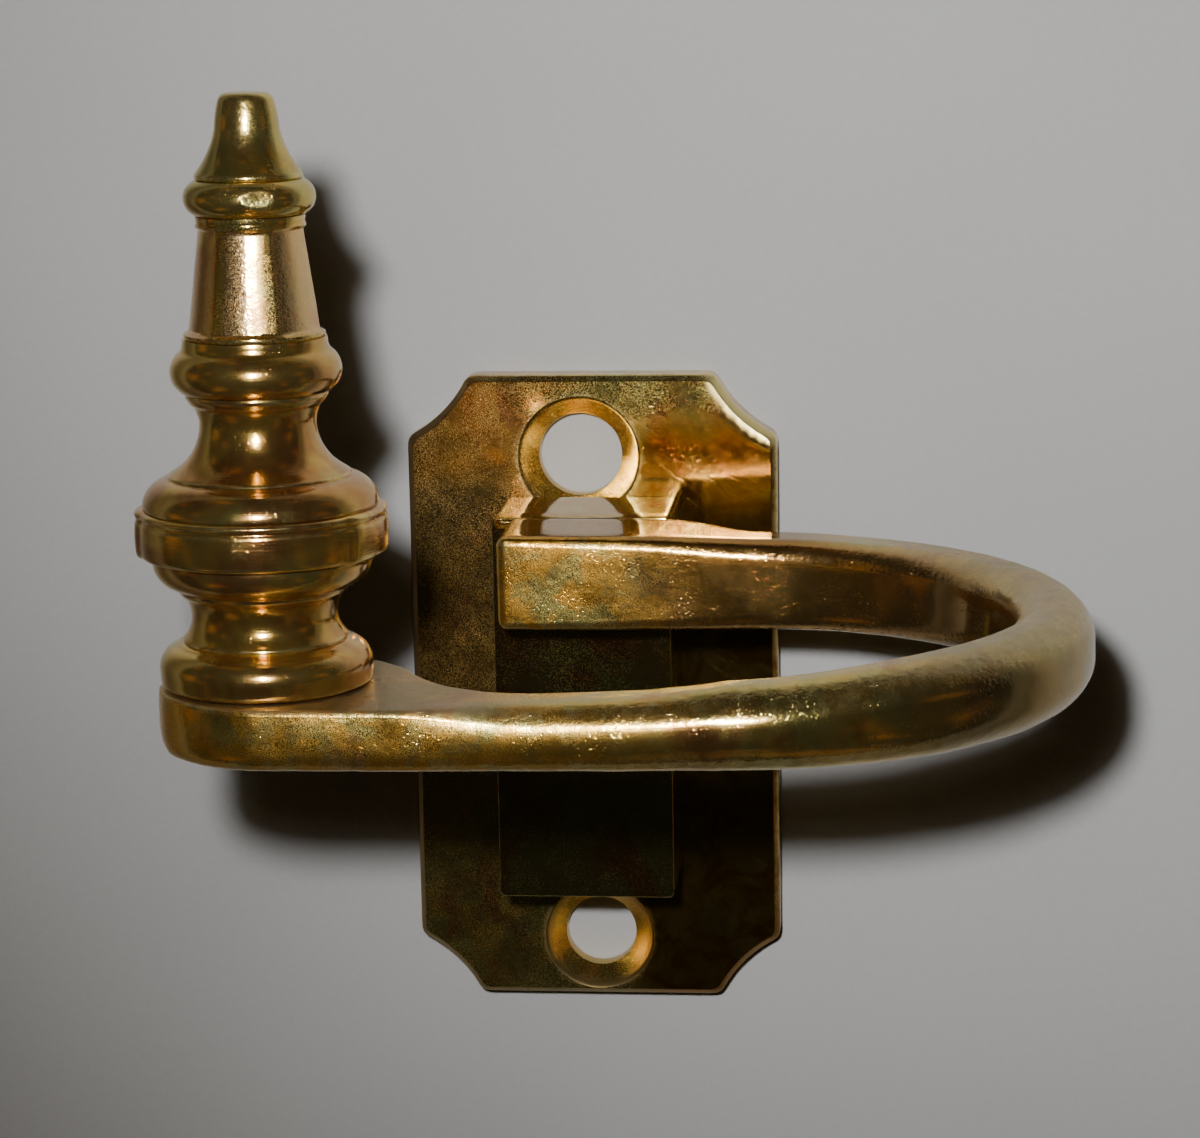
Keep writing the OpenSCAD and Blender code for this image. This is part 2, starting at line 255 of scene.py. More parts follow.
def joined(corners, side_steps):
    """A closed line through four corner arcs, with straight sides between them."""
    line = []
    for k in range(4):
        arc, after = corners[k], corners[(k + 1) % 4]
        line += [*arc[:-1], *straight(arc[-1], after[0], side_steps[k % 2])]
    return np.array(line)


def plate_outline(inset):
    """The plate's outline drawn in by inset: four sides and four shallow scoops."""
    half_w = (PLATE_HIGH[0] - PLATE_LOW[0]) / 2
    half_h = (PLATE_HIGH[1] - PLATE_LOW[1]) / 2
    radius = SCOOP_R + inset
    start = math.asin((SCOOP_OUT + inset) / radius)
    steps = 20
    turn = np.linspace(start, math.pi / 2 - start, steps + 1)
    x = half_w + SCOOP_OUT - radius * np.sin(turn)
    y = half_h + SCOOP_OUT - radius * np.cos(turn)
    scoops = []
    for sx, sy in ((1, 1), (-1, 1), (-1, -1), (1, -1)):
        scoop = np.stack([sx * x, sy * y], 1)
        # Each scoop starts on one side of the plate and ends on the next.
        scoops.append(scoop if sx * sy > 0 else scoop[::-1])
    return joined(scoops, side_steps=(44, 84))


def block_outline(inset):
    """The block's outline drawn in by inset, with small round corners."""
    corner = 0.45
    cx, cy = (BLOCK_LOW[:2] + BLOCK_HIGH[:2]) / 2
    half_w, half_h = (BLOCK_HIGH[:2] - BLOCK_LOW[:2]) / 2 - corner
    radius = max(0.05, corner - inset)
    shrink = max(0.0, inset - corner + 0.05)
    arcs = []
    for k, (sx, sy) in enumerate(((1, 1), (-1, 1), (-1, -1), (1, -1))):
        middle = np.array([cx + sx * (half_w - shrink), cy + sy * (half_h - shrink)])
        turn = np.radians(np.linspace(90 * k, 90 * k + 90, 7))
        arcs.append([middle + radius * np.array([math.cos(a), math.sin(a)]) for a in turn])
    return joined(arcs, side_steps=(24, 56))


def circle(x, y, radius, count):
    """count points round a circle."""
    turn = np.arange(count) * 2 * math.pi / count
    return np.stack([x + radius * np.cos(turn), y + radius * np.sin(turn)], 1)


def inside(points, loop):
    """Which points lie inside a closed loop."""
    x, y = points[:, 0], points[:, 1]
    found = np.zeros(len(points), bool)
    for (x1, y1), (x2, y2) in zip(loop, np.roll(loop, -1, 0)):
        crosses = (y1 > y) != (y2 > y)
        slope = (x2 - x1) / (y2 - y1) if y2 != y1 else 0.0
        found ^= crosses & (x < x1 + (y - y1) * slope)
    return found


def filled(outer, holes, spacing):
    """Triangles that fill outer around its holes, with inner points spacing apart.

    Returns the points, which start with those of outer and of each hole in turn.
    """
    loops = [outer] + holes
    low, high = outer.min(0), outer.max(0)
    xs = np.arange(low[0] + spacing / 2, high[0], spacing)
    ys = np.arange(low[1] + spacing / 2, high[1], spacing)
    grid = np.array([
        (x + (spacing / 2 if j % 2 else 0), y) for j, y in enumerate(ys) for x in xs
    ])
    keep = inside(grid, outer)
    for hole in holes:
        keep &= ~inside(grid, hole)
    for loop in loops:
        near = np.min(np.hypot(*(grid[:, None] - loop[None]).transpose(2, 0, 1)), axis=1)
        keep &= near > 0.45 * spacing
    points = np.concatenate(loops + [grid[keep]])
    edges, first = [], 0
    for loop in loops:
        count = len(loop)
        edges += [(first + k, first + (k + 1) % count) for k in range(count)]
        first += count
    result = geometry.delaunay_2d_cdt([Vector(p) for p in points], edges, [], 0, 1e-7, True)
    places = np.array([tuple(v) for v in result[0]])
    original = [ids[0] for ids in result[3]]
    triangles = np.array([[original[i] for i in face] for face in result[2]])
    centres = points[triangles].mean(1)
    good = inside(centres, outer)
    for hole in holes:
        good &= ~inside(centres, hole)
    assert len(places) == len(points)
    return points, [tuple(t) for t in triangles[good]]


BACK_EDGE = 0.12
HOLE_STEPS = 72
POCKET_STEPS = 48


def slab(name, outline, low, high, edge, holes=(), pockets=(), spacing=0.7, rounding=2):
    """A thick plate with worn edges.

    outline(inset) gives its outline, and edge the (inset, drop) steps of its front
    edge. holes holds (x, y, [(radius, z), ...]) from back to front; pockets the
    same from the back to a blind bottom. spacing is the gap between the front's
    inner points, and rounding how often the outline's corners are softened.
    """
    edge_depth, rim_depth = 1.2, 0.6
    side = high - edge[0][1] - low - BACK_EDGE
    steps = [(BACK_EDGE, low), (0.0, low + BACK_EDGE)]
    steps += [(0.0, low + side * k / 4 + BACK_EDGE) for k in (1, 2, 3)]
    steps += [(inset, high - drop) for inset, drop in edge]
    points, marks = [], []
    around = len(outline(0.0))
    for inset, z in steps:
        points += [(x, y, z) for x, y in softened_loop(outline(inset), rounding)]
        marks += [1.0 if z > high - edge_depth and inset < edge[-1][0] else 0.0] * around
    faces = tube_faces(len(steps), around)
    back, front = [range(around)], [range(len(points) - around, len(points))]
    bores = [(*hole, HOLE_STEPS, True) for hole in holes]
    bores += [(*pocket, POCKET_STEPS, False) for pocket in pockets]
    for x, y, rings, count, through in bores:
        first = len(points)
        for radius, z in rings:
            points += [(px, py, z) for px, py in circle(x, y, radius, count)]
            worn = 1.0 if z > high - rim_depth else 0.4
            marks += [worn if through else 0.0] * count
        faces += [f[::-1] for f in tube_faces(len(rings), count, first)]
        back.append(range(first, first + count))
        end = range(len(points) - count, len(points))
        if through:
            front.append(end)
        else:
            faces.append(tuple(end)[::-1])
    for rims, z, gap, flip in ((front, high, spacing, False), (back, low, 4 * spacing, True)):
        loops = [np.array([points[i][:2] for i in rim]) for rim in rims]
        places, triangles = filled(loops[0], loops[1:], gap)
        index = [i for rim in rims for i in rim]
        for x, y in places[len(index):]:
            index.append(len(points))
            points.append((x, y, z))
            marks.append(0.0)
        for triangle in triangles:
            a, b, c = (index[i] for i in triangle)
            pa, pb, pc = (np.array(points[i][:2]) for i in (a, b, c))
            ccw = np.cross(pb - pa, pc - pa) > 0
            faces.append((a, b, c) if ccw != flip else (a, c, b))
    obj = make_object(name, points, faces, crease=28)
    mark(obj, "edge", marks)
    return obj


def make_plate():
    """The back plate, with worn edges, two sunk holes and two screw pockets behind.

    Its marks say where it is worn round, which also carries a painted highlight, where
    it is lit, where it is redder, and where it is free of scuffs and carries a painted
    orange reflection tone.
    """
    low, high = PLATE_LOW[2], PLATE_HIGH[2]
    holes = []
    for name in ("upper_screw_hole", "lower_screw_hole"):
        mount = MOUNTS[name]
        x, y = (c / MM for c in mount["pos_m"][:2])
        r = mount["dims"]["r_mm"]
        holes.append((x, y, [
            (r + 0.1, low), (r, low + 0.12), (r, high - SINK_W - 0.12),
            (r + 0.03, high - SINK_W), (r + 0.14, high - SINK_W + 0.1),
            (r + 0.5 * SINK_W, high - 0.5 * SINK_W - 0.04),
            (r + SINK_W - 0.25, high - 0.28), (r + SINK_W - 0.1, high - 0.12),
            (r + SINK_W, high - 0.04), (r + SINK_W + 0.07, high),
        ]))
    pockets = []
    for node in ("arm_screw", "block_screw"):
        near, far = box_mm(node)
        x, y = (near[:2] + far[:2]) / 2
        bottom = low + SCREW_SINK_R - SCREW_R
        pockets.append((x, y, [(SCREW_SINK_R, low), (SCREW_R, bottom), (SCREW_R, high - 0.3)]))
    edge = [(0.0, 0.52), (0.04, 0.45), (0.1, 0.38), (0.38, 0.1), (0.44, 0.04), (0.5, 0.0)]
    obj = slab("plate", plate_outline, low, high, edge, holes, pockets, spacing=0.5)
    rolled = roll_corner(obj)
    roughen(obj, [(0.01, 9.0, 2), (0.003, 2.5, 2)])
    keep_inside(obj, "back_plate")
    mark(obj, "rolled", rolled)
    places = [v.co / MM for v in obj.data.vertices]
    mark(obj, "lit_side", [ease((p.x / 15 + p.y / 26) / 0.8) for p in places])
    mark(obj, "warm", [ease((3 - p.x) / 14) * ease((p.y + 16) / 12) for p in places])
    # Free of scuffs; also where the plate gets its painted orange reflection tone.
    mark(obj, "clean", [ease((p.x - 2) / 3) * ease((25 - p.y) / 5) for p in places])
    return obj


def roll_corner(obj):
    """Wears the plate's edge down softly along its upper scoop on the side of the bend.

    Returns how worn each vertex is, from 0 to 1. The material tints it pale, as wear
    and as a painted highlight.
    """
    centre = PLATE_HIGH[:2] + SCOOP_OUT
    width, drop = 1.2, 0.25
    worn = []
    for vertex in obj.data.vertices:
        away = np.hypot(*(np.array(vertex.co[:2]) / MM - centre)) - SCOOP_R
        near = 0.0
        if vertex.co.z / MM > PLATE_HIGH[2] - 0.6:
            near = max(0.0, 1 - max(0.0, away) / width)
        vertex.co.z -= drop * near ** 2 * MM
        worn.append(ease(near / 0.5))
    return worn


def make_block():
    """The standoff block, a polished bar with narrow worn edges."""
    edge = [(0.0, 0.14), (0.02, 0.06), (0.06, 0.02), (0.14, 0.0)]
    low, high = BLOCK_LOW[2], BLOCK_HIGH[2]
    obj = slab("block", block_outline, low, high, edge, rounding=1)
    roughen(obj, [(0.006, 7.0, 1)])
    keep_inside(obj, "standoff_block")
    return obj


# ---- arm ----

def table(u, stops):
    """Value at u of a table of (u, value) stops, eased through its corners."""
    us, values = zip(*stops)
    reach = 0.06
    return float(np.mean(np.interp(np.linspace(u - reach, u + reach, 7), us, values)))


def bar_top(u):
    """Upper side of the bar: u is 0 at the root, 1 to 2 round the bend, 3 at the eye."""
    return ARM_BASE + table(u, [
        (0, ROOT_H), (0.6, ROOT_H - 0.05), (1, ROOT_H - 0.35), (1.5, ROOT_H - 0.5),
        (1.8, ROOT_H - 0.75), (2, ROOT_H - 1.85), (2.45, EYE_H + 0.5), (3, EYE_H + 0.2),
    ])


def bar_round(u):
    """Radius of the bar's long edges, with the same u."""
    return table(u, [(0, 0.8), (0.5, 1.1), (1, 1.6), (1.5, 2.7), (2, 2.2), (2.5, 1.6), (3, 1.4)])


CORNER_STEPS = 9
FLAT_STEPS = 7


def section(width, low, high, radii, crown=0.0):
    """A rounded section as (across, up) points, with the four corner radii in turn.

    The corners are outer low, outer high, inner high and inner low, and crown is
    how far the two sides draw in towards them. The second result tells how much
    each point belongs to a corner.
    """
    half = width / 2
    places = ((half, low), (half, high), (-half, high), (-half, low))
    quarter = [math.pi / 2 * j / CORNER_STEPS for j in range(CORNER_STEPS + 1)]
    arcs, points, edge = [], [], []
    for k, ((x, y), r) in enumerate(zip(places, radii)):
        cx = x - math.copysign(r, x)
        cy = y + r if y == low else y - r
        turn = [math.pi / 2 * (k - 1) + a for a in quarter]
        arcs.append([(cx + r * math.cos(a), cy + r * math.sin(a)) for a in turn])
    for k in range(4):
        arc, after = arcs[k], arcs[(k + 1) % 4][0]
        points += arc
        edge += [math.sin(2 * a) for a in quarter]
        for t in np.arange(1, FLAT_STEPS) / FLAT_STEPS:
            points.append(tuple(np.array(arc[-1]) * (1 - t) + np.array(after) * t))
            edge.append(0.0)
    middle, rise = (low + high) / 2, (high - low) / 2
    points = [(x * (1 - crown / half * ((y - middle) / rise) ** 2), y) for x, y in points]
    return points, edge


def drawn_in(distance, radius):
    """How far a rounded end has drawn in at this distance from its tip."""
    if distance >= radius:
        return 0.0
    return radius - math.sqrt(radius ** 2 - (radius - distance) ** 2)


INNER_Z = FRONT_Z - BAR_D
FILLET_Z = INNER_Z - EYE_FILLET_R
FILLET_X = EYE_X + math.sqrt((EYE_R + EYE_FILLET_R) ** 2 - (EYE_Z - FILLET_Z) ** 2)
FILLET_END = EYE_X + (FILLET_X - EYE_X) * EYE_R / (EYE_R + EYE_FILLET_R)
ROOT_LIFT = BEND_Z - BEND_R - BAR_D / 2 - BLOCK_FRONT


def eye_half(x):
    """Half the depth of the eye's round plan at x."""
    return math.sqrt(max(0.0, EYE_R ** 2 - (x - EYE_X) ** 2))


def plan_inner(x):
    """z of the front bar's inner side at x: bar, fillet and eye."""
    if x > FILLET_X:
        return INNER_Z
    if x > FILLET_END:
        return FILLET_Z + math.sqrt(EYE_FILLET_R ** 2 - (x - FILLET_X) ** 2)
    return EYE_Z - eye_half(x)


def plan_outer(x):
    """z of the front bar's outer side at x."""
    return FRONT_Z if x > EYE_X else EYE_Z + eye_half(x)


def root_ring(d):
    """Place, outward direction and section of the root at d from its blunt end."""
    u = d / (BEND_X + ROOT_REACH)
    inset = drawn_in(d, ROOT_END_R)
    block_half = (BLOCK_HIGH[0] - BLOCK_LOW[0]) / 2
    past = (d - ROOT_REACH - block_half) / (BEND_X - block_half)
    under = BLOCK_FRONT + ROOT_LIFT * ease(past)
    over = BLOCK_FRONT + ROOT_D + (ROOT_LIFT + BAR_D - ROOT_D) * u
    r = max(0.12, bar_round(u) - 0.7 * inset)
    seat = r + (0.1 - r) * (1 - ease(past)) if inset == 0 else r
    shape = section(
        over - under - 2 * inset, ARM_BASE + inset, bar_top(u) - inset, (seat, seat, r, r)
    )
    return (-ROOT_REACH + d, (over + under) / 2), (0, -1), shape


def bend_ring(t):
    """The same round the bend, where t goes from 0 to 1."""
    a = math.pi * t
    r = bar_round(1 + t)
    place = (BEND_X + BEND_R * math.sin(a), BEND_Z - BEND_R * math.cos(a))
    shape = section(BAR_D, ARM_BASE, bar_top(1 + t), (r, r, r, r), BAR_CROWN * ease(t))
    return place, (math.sin(a), -math.cos(a)), shape


def front_ring(x):
    """The front bar and the eye, cut straight across at x."""
    u = 2 + min(1.0, max(0.0, (BEND_X - x) / (BEND_X - FILLET_X)))
    near_eye = ease((FILLET_X - x) / (FILLET_X - FILLET_END))
    from_tip = x - EYE_X + EYE_R
    low_round, high_round = 1.5, 0.55
    low_in, high_in = drawn_in(from_tip, low_round), drawn_in(from_tip, high_round)
    width = plan_outer(x) - plan_inner(x)
    r = bar_round(u)
    r_low = min(r + near_eye * (low_round - r), width / 3)
    r_high = min(r + near_eye * (high_round - r), width / 3)
    top = bar_top(u) + near_eye * (ARM_BASE + EYE_H - bar_top(u))
    shape = section(
        width, ARM_BASE + low_in, top - high_in, (r_low, r_high, r_high, r_low),
        min(width / 4, BAR_CROWN * (1 - 0.8 * near_eye))
    )
    return (x, (plan_outer(x) + plan_inner(x)) / 2), (0, 1), shape


def arm_look(vertex):
    """How much of each of the arm's looks a vertex has, from 0 to 1."""
    x, _, z = vertex.co / MM
    on_top = ease((vertex.normal.y - 0.5) / 0.3)
    off_top = 1 - 0.8 * ease((vertex.normal.y - 0.4) / 0.4)
    outward = ease((vertex.normal.z - 0.2) / 0.4)
    at_front = ease((z - FRONT_Z + 24) / 6)
    by_eye, on_bend = ease((FILLET_X + 3 - x) / 8), ease((x - 20) / 8)
    return {
        "raw": on_top * max(at_front * by_eye, 0.8 * on_bend),
        "coarse": ease((16 - x) / 18) * outward * (1 - 0.2 * at_front),
        "russet": ease((x - 1) / 7) * outward * (1 - at_front),
        "tarnish": ease((x - 20) / 12) * off_top,
        "root_top": on_top * (1 - at_front) * ease((24 - x) / 8),
    }


def make_arm():
    """The bar from its root on the block, round the bend to the eye."""
    blunt_end = [ROOT_END_R * (1 - math.cos(a)) for a in np.linspace(0.12, math.pi / 2, 7)]
    straight_on = np.linspace(1.4, BEND_X + ROOT_REACH, 38)[:-1]
    rings = [root_ring(d) for d in (*blunt_end, *straight_on)]
    rings += [bend_ring(t) for t in np.linspace(0, 1, 110)]
    rings += [front_ring(x) for x in np.linspace(BEND_X, FILLET_X, 24)[1:]]
    rings += [front_ring(x) for x in np.linspace(FILLET_X, FILLET_END, 24)[1:]]
    start = math.acos((FILLET_END - EYE_X) / EYE_R)
    rings += [
        front_ring(EYE_X + EYE_R * math.cos(a))
        for a in np.linspace(start, math.pi - 0.035, 64)[1:]
    ]
    points, edge = [], []
    for (x, z), (ox, oz), (shape, corner) in rings:
        points += [(x + q * ox, y, z + q * oz) for q, y in shape]
        edge += corner
    around = len(rings[0][2][0])
    faces = tube_faces(len(rings), around)
    faces.append(tuple(range(around))[::-1])
    faces.append(tuple(range(len(points) - around, len(points))))
    obj = make_object("arm_bar", points, faces)
    mark(obj, "edge", edge)
    looks = [arm_look(vertex) for vertex in obj.data.vertices]
    for name in looks[0]:
        mark(obj, name, [look[name] for look in looks])
    # The top of the root is nearly smooth.
    rugged = 1 - 0.93 * np.array([look["root_top"] for look in looks])
    roughen(obj, [(0.045, 6.0, 2), (0.018, 1.7, 2)], rugged)
    cut(obj, bolt_cutter())
    keep_inside(obj, "arm")
    return obj


def bolt_cutter():
    """The sunk bore of the finial's bolt, as one solid along the finial's axis."""
    profile = [
        (0.0, -0.5), (BOLT_SINK_R + 0.5, -0.5), (BOLT_R, BOLT_SINK_R - BOLT_R),
        (BOLT_R, EYE_H + 1), (0.0, EYE_H + 1),
    ]
    return lathe("bolt_cutter", profile, ARM_BASE, 48)


# ---- finial ----

FINIAL_BASE = ARM_BASE + EYE_H + 0.05
LATHE_STEPS = 144
ON_AXIS = 1e-6
FRONT_TURN = math.radians(270)


def lathe(name, profile, base, steps=LATHE_STEPS, radius_at=None):
    """A closed turned solid on the finial's axis.

    profile runs from the axis or bore at the bottom, up the outside and back in.
    Its heights count from base. radius_at(r, h, angle) may change the radius, and
    angle grows from +X towards -Z.
    """
    points, rings = [], []
    for r, h in profile:
        rings.append(len(points))
        if r < ON_AXIS:
            points.append((AXIS_X, base + h, AXIS_Z))
            continue
        for k in range(steps):
            a = 2 * math.pi * k / steps
            q = radius_at(r, h, a) if radius_at else r
            points.append((AXIS_X + q * math.cos(a), base + h, AXIS_Z - q * math.sin(a)))
    faces = []
    solid = profile[0][0] < ON_AXIS
    for i in range(len(rings) - 1 if solid else len(rings)):
        n = (i + 1) % len(rings)
        low, high = rings[i], rings[n]
        for k in range(steps):
            m = (k + 1) % steps
            if profile[i][0] < ON_AXIS:
                faces.append((low, high + m, high + k))
            elif profile[n][0] < ON_AXIS:
                faces.append((low + k, low + m, high))
            else:
                faces.append((low + k, low + m, high + m, high + k))
    return make_object(name, points, faces)


def convexity(outline):
    """How sharply each point of an outline stands out, from 0 to 1."""
    steps = np.diff(outline, axis=0)
    angle = np.unwrap(np.arctan2(steps[:, 1], steps[:, 0]))
    turn = np.concatenate([[0], np.diff(angle), [0]])
    return np.clip(turn / 0.3, 0, 1)


def turned(name, node, outline, radius_at=None, passes=2, bored=True, waves=0.012):
    """A section of the finial, whose outline runs up its outside.

    Heights count from the eye's top. passes is how often the outline's corners are
    softened, and waves the height of the slow unevenness.
    """
    outside = softened(resampled(outline, 0.12), passes)
    worn = convexity(outside)
    profile = [tuple(p) for p in outside]
    low, high = profile[0][1], profile[-1][1]
    if bored:
        profile = [(BOLT_R, high), (BOLT_R, low)] + profile
        worn = np.concatenate([[0, 0], worn])
    else:
        profile = [(0.0, low)] + profile + [(0.0, high)]
        worn = np.concatenate([[0], worn, [0]])
    obj = lathe(name, profile, FINIAL_BASE, radius_at=radius_at)
    marks = []
    for (r, _), value in zip(profile, worn):
        marks += [value] * (1 if r < ON_AXIS else LATHE_STEPS)
    mark(obj, "edge", marks)
    roughen(obj, [(waves, 4.0, 2)])
    keep_inside(obj, node)
    return obj


def extent(node):
    """Heights of a section's two ends above the eye, and its widest radius."""
    low, high = box_mm(node)
    return low[1] - FINIAL_BASE, high[1] - FINIAL_BASE, (high[0] - low[0]) / 2


def from_foot(vertex):
    """A vertex's place in millimetres from where the finial's axis meets the eye."""
    x, y, z = np.array(vertex.co) / MM
    return x - AXIS_X, y - FINIAL_BASE, z - AXIS_Z


def make_foot():
    """The foot: a low cushion that stands on the eye."""
    low, top, r = extent("finial_foot")
    return turned("foot_ring", "finial_foot", (
        [(r - 0.28, low), (r - 0.1, low + 0.1), (r - 0.05, low + 0.35)]
        + bow((r - 0.02, low + 0.95), (r - 1.15, top - 0.14), 0.42)
        + [(r - 1.3, top - 0.1), (r - 1.36, top)]
    ))


def make_vase():
    """A hollow waist between two small lips, and the bowl under the band."""
    low, top, rim = extent("finial_vase")
    hip, waist_top, waist_r = 5.45, 6.3, 4.8
    return turned("vase", "finial_vase", (
        [(hip - 0.08, low), (hip + 0.02, low + 0.12), (hip - 0.06, low + 0.32)]
        + bow((hip - 0.14, low + 0.38), (hip - 0.16, waist_top - 0.3), waist_r - hip + 0.14)
        + [(hip + 0.02, waist_top - 0.24), (hip + 0.12, waist_top - 0.08)]
        + [(hip + 0.14, waist_top + 0.1), (hip + 0.08, waist_top + 0.16)]
        + bow((hip + 0.2, waist_top + 0.22), (rim - 0.02, top), 0.56, 18)
    ))


def band_radius(r, h, angle):
    """The band is a little proud at two ears that face left and right."""
    ear = ease((abs(math.cos(angle + 0.12)) - 0.86) / 0.06)
    return r + 0.24 * ear * ease((r - 7.2) / 0.3)


def make_band():
    """The upright band, with a groove and a rounded lip along its top."""
    low, top, ear_r = extent("finial_band")
    r = ear_r - 0.25
    return turned("band", "finial_band", (
        [(r - 0.42, low), (r - 0.14, low + 0.1)]
        + bow((r - 0.06, low + 0.22), (r - 0.05, top - 0.78), 0.05, 8)
        + [(r - 0.2, top - 0.7), (r - 0.22, top - 0.58)]
        + bow((r - 0.1, top - 0.52), (r - 0.16, top - 0.1), 0.12, 8)
        + [(r - 0.42, top)]
    ), radius_at=band_radius)


def make_shoulder():
    """The bowl above the band, a thin rim and the long hollow of the neck."""
    low, top, base_r = extent("finial_shoulder")
    rim, rim_low, waist, waist_r = 5.8, 13.75, 17.3, 3.8
    return turned("shoulder", "finial_shoulder", (
        [(base_r - 0.1, low)]
        + bow((base_r - 0.06, low + 0.06), (rim + 0.12, rim_low), 0.5, 18)
        + [(rim + 0.2, rim_low + 0.08), (rim + 0.2, rim_low + 0.2), (rim, rim_low + 0.26)]
        + bow((rim - 0.06, rim_low + 0.34), (waist_r, waist), -0.52, 18)
        + bow((waist_r, waist), (waist_r + 0.38, top - 0.85), -0.06, 6)
        + [(waist_r + 0.62, top - 0.78), (waist_r + 0.72, top - 0.5)]
        + [(waist_r + 0.86, top - 0.42), (waist_r + 0.86, top - 0.1), (waist_r + 0.8, top)]
    ))


def make_bead():
    """The round bead on the neck, with a small fillet on it."""
    low, top, r = extent("finial_bead")
    crown = 22.0
    fillet_r = 4.75
    return turned("bead", "finial_bead", (
        bow((fillet_r + 0.12, low), (fillet_r + 0.12, crown), r - fillet_r - 0.12, 22)
        + [(fillet_r + 0.02, crown + 0.05), (fillet_r + 0.08, crown + 0.16)]
        + [(fillet_r - 0.02, crown + 0.3), (fillet_r - 0.02, top - 0.1), (fillet_r - 0.06, top)]
    ))


FLATS = 6
FLAT_SHARE = 0.885
FIRST_FLAT = math.radians(93)
FLAT_CROWN = 0.6
# How hammered each flat looks, counted from the one at the back.
FLAT_LOOKS = (0.5, 0.3, 0.1, 0.8, 0.7, 0.3)
FRONT_FLAT = 3


def flat_depth(h, low, top):
    """1 where the steeple's flats are, easing to 0 over the round strips at its ends."""
    return ease((h - low - 0.42) / 0.24 + 0.5) * ease((top - 0.8 - h) / 0.24 + 0.5)


def filed_look(vertex, low, top):
    """The front flat is hammered but for its right third, and the flats left of it least."""
    x, h, z = from_foot(vertex)
    step = 2 * math.pi / FLATS
    place = (math.atan2(-z, x) - FIRST_FLAT) / step
    flat = round(place) % FLATS
    share = FLAT_LOOKS[flat]
    if flat == FRONT_FLAT:
        across = place - round(place)
        share *= ease(across / 0.12 + 3.2) - 0.8 * ease(across / 0.12 - 0.2)
    return share * flat_depth(h, low, top)


def make_steeple():
    """A tapered blank with six filed flats, each slightly crowned."""
    low, top, _ = extent("finial_steeple")
    low_r, high_r = 4.6, 3.6

    def with_flats(r, h, angle):
        if r < BOLT_R + 0.1:
            return r
        step = 2 * math.pi / FLATS
        off = (angle - FIRST_FLAT + step / 2) % step - step / 2
        flat = r * FLAT_SHARE * ((1 - FLAT_CROWN) / math.cos(off) + FLAT_CROWN)
        return r + (min(r, flat) - r) * flat_depth(h, low, top)

    obj = turned("steeple", "finial_steeple", (
        [(low_r - 0.05, low), (low_r + 0.04, low + 0.1), (low_r, low + 0.4)]
        + [(high_r + 0.02, top - 0.6), (high_r - 0.1, top - 0.48), (high_r - 0.1, top - 0.36)]
        + [(high_r - 0.02, top - 0.3), (high_r - 0.05, top)]
    ), radius_at=with_flats, passes=1, waves=0.02)
    mark(obj, "filed", [filed_look(v, low, top) for v in obj.data.vertices])
    return obj


def make_collar():
    """A ring with a dent at its front that has left a small flat."""
    low, top, r = extent("finial_collar")
    edge_r = r - 0.75
    dent_turn = FRONT_TURN + math.radians(19)
    dent_depth = 0.15

    def dented(q, h, angle):
        away = math.cos(angle - dent_turn)
        if away < 0.7 or q < BOLT_R + 0.1:
            return q
        lean = 0.12 * (h - (low + top) / 2)
        return min(q, (r - dent_depth - lean) / away)

    obj = turned("collar", "finial_collar", (
        [(edge_r, low)]
        + bow((edge_r + 0.04, low + 0.04), (edge_r + 0.04, top - 0.04), 0.7, 22)
        + [(edge_r, top)]
    ), radius_at=dented)
    sunk = []
    for vertex in obj.data.vertices:
        x, _, z = from_foot(vertex)
        away = x * math.cos(dent_turn) - z * math.sin(dent_turn)
        sunk.append(ease((away - r + dent_depth + 0.06) / 0.06))
    mark(obj, "filed", sunk)
    return obj


def make_cap():
    """The pointed cap with its blunt tip, pitted towards the top."""
    low, top, r = extent("finial_cap")
    waist_r, waist, brow_r, tip_r = 2.1, 36.2, 1.85, 1.15
    obj = turned("cap", "finial_cap", (
        [(r - 0.14, low), (r - 0.01, low + 0.1), (r - 0.03, low + 0.34), (r - 0.16, low + 0.48)]
        + bow((r - 0.2, low + 0.55), (waist_r, waist), -0.17, 16)
        + bow((waist_r, waist), (brow_r, top - 0.7), 0.05, 8)
        + bow((brow_r, top - 0.7), (tip_r, top - 0.04), 0.2, 8)
        + [(0.2, top)]
    ), bored=False)
    heights = [from_foot(vertex)[1] - low for vertex in obj.data.vertices]
    mark(obj, "filed", [0.55 * ease((h - 1.4) / 1.2) for h in heights])
    return obj


# ---- materials ----

